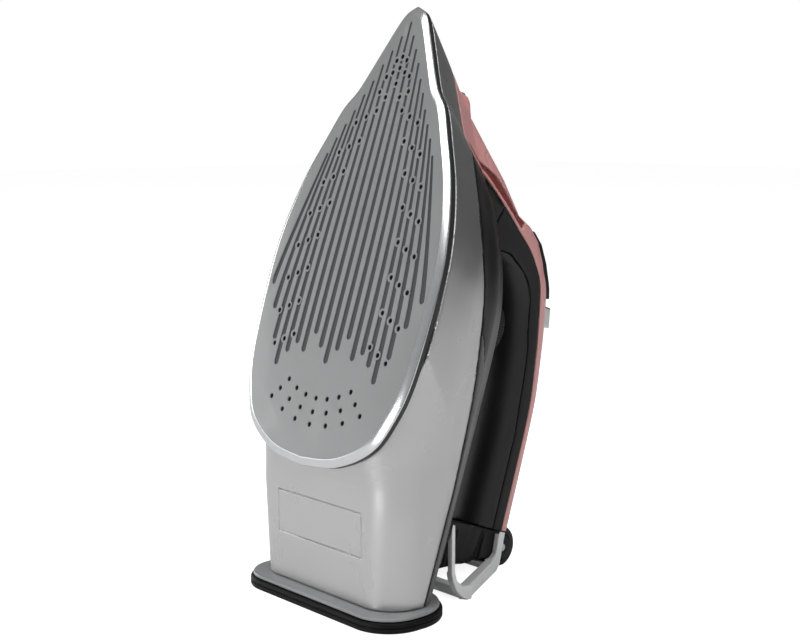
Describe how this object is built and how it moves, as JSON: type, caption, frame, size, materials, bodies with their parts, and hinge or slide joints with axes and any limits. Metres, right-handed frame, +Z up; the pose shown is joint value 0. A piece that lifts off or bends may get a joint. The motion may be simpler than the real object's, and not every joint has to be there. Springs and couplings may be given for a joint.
{
  "type": "steam iron",
  "caption": "Steam iron standing on its heel: drilled soleplate, silver skirt, black body, rose top cover, looped handle, dial, spray and steam buttons, filler lid and cord swivel.",
  "frame": {"origin": "centre of the bounding box at the ground under the heel", "axes": "+Z up from the heel towards the soleplate's tip, +Y from the ironing face towards the handle, +X to the right seen from the ironing face's side (azimuth 0)"},
  "size_m": [0.1246, 0.1622, 0.2837],
  "materials": {
    "soleplate": "satin, plain",
    "cast_heater": "as cast",
    "steel": "plain",
    "knob_metal": "polished",
    "brass": "plain",
    "ceramic": "matte",
    "white_plastic": "matte",
    "clear_plastic": "translucent, gloss",
    "silver_plastic": "silver, fine grain",
    "grey_plastic": "grey, satin",
    "black_plastic": "black, satin gloss",
    "dial_plastic": "dark grey, satin",
    "soft_grip": "soft, dark grey",
    "rose_plastic": "pearl rose, gloss",
    "red_window": "tinted, gloss",
    "foot_rubber": "matte",
    "wire_cover": "matte"
  },
  "bodies": {
    "iron_body": {"body_shell": "black_plastic", "casting_screw_front": "steel", "casting_screw_left": "steel", "casting_screw_right": "steel", "chamber_cover": "steel", "dial_collar": "black_plastic", "handle_frame_left": "black_plastic", "handle_frame_right": "black_plastic", "handle_grip": "soft_grip", "heat_shield": "steel", "heater_casting": "cast_heater", "heating_element": "steel", "heel_foot": "foot_rubber", "heel_plate": "grey_plastic", "heel_screw_left": "steel", "heel_screw_right": "steel", "heel_stand": "silver_plastic", "live_wire": "wire_cover", "lower_housing": "silver_plastic", "neutral_wire": "wire_cover", "pump_carrier": "black_plastic", "rear_housing": "black_plastic", "side_trim_left": "grey_plastic", "side_trim_right": "grey_plastic", "soleplate": "soleplate", "spray_hose": "clear_plastic", "spray_nozzle": "black_plastic", "spray_pump": "white_plastic", "steam_pump": "white_plastic", "suction_hose": "clear_plastic", "swivel_pin": "steel", "tank_window_left": "red_window", "tank_window_right": "red_window", "terminal_block": "ceramic", "thermal_fuse": "steel", "thermostat": "ceramic", "top_cover": "rose_plastic", "valve_seat": "brass", "water_tank": "clear_plastic"},
    "dial": {"temperature_dial": "dial_plastic", "dial_shaft": "steel"},
    "spray_control": {"spray_button": "black_plastic", "spray_piston": "white_plastic"},
    "steam_control": {"steam_button": "black_plastic", "steam_piston": "white_plastic"},
    "steam_slider": {"slider_base": "black_plastic", "slider_knob": "knob_metal"},
    "valve": {"valve_rod": "brass"},
    "lid": {"filler_lid": "rose_plastic"},
    "cord_swivel": {"cord_swivel": "black_plastic"}
  },
  "joints": [
    {"name": "dial_turn", "type": "hinge", "parent": "iron_body", "child": "dial", "pos_m": [0, 0.0314, 0.1249], "axis": [0, 0.9469, -0.3214], "range_deg": [0, 270]},
    {"name": "spray_press", "type": "slide", "parent": "iron_body", "child": "spray_control", "axis": [0, -0.9469, 0.3214], "range_m": [0, 0.003], "stiffness_N_per_m": 300},
    {"name": "steam_press", "type": "slide", "parent": "iron_body", "child": "steam_control", "axis": [0, -0.9469, 0.3214], "range_m": [0, 0.003], "stiffness_N_per_m": 300},
    {"name": "slider_travel", "type": "slide", "parent": "iron_body", "child": "steam_slider", "axis": [0, -0.1164, -0.9932], "range_m": [0, 0.01]},
    {"name": "valve_lift", "type": "slide", "parent": "iron_body", "child": "valve", "axis": [0, 0.9469, -0.3214], "range_m": [0, 0.003]},
    {"name": "lid_hinge", "type": "hinge", "parent": "iron_body", "child": "lid", "pos_m": [0, 0.03105, 0.21753], "axis": [1, 0, 0], "range_deg": [0, 85]},
    {"name": "cord_swivel_turn", "type": "hinge", "parent": "iron_body", "child": "cord_swivel", "pos_m": [0, 0.0381, 0.01026], "axis": [1, 0, 0], "range_deg": [-40, 40]}
  ],
  "couplings": [
    {"joint": "valve_lift", "follows": "slider_travel", "ratio": 0.3}
  ]
}
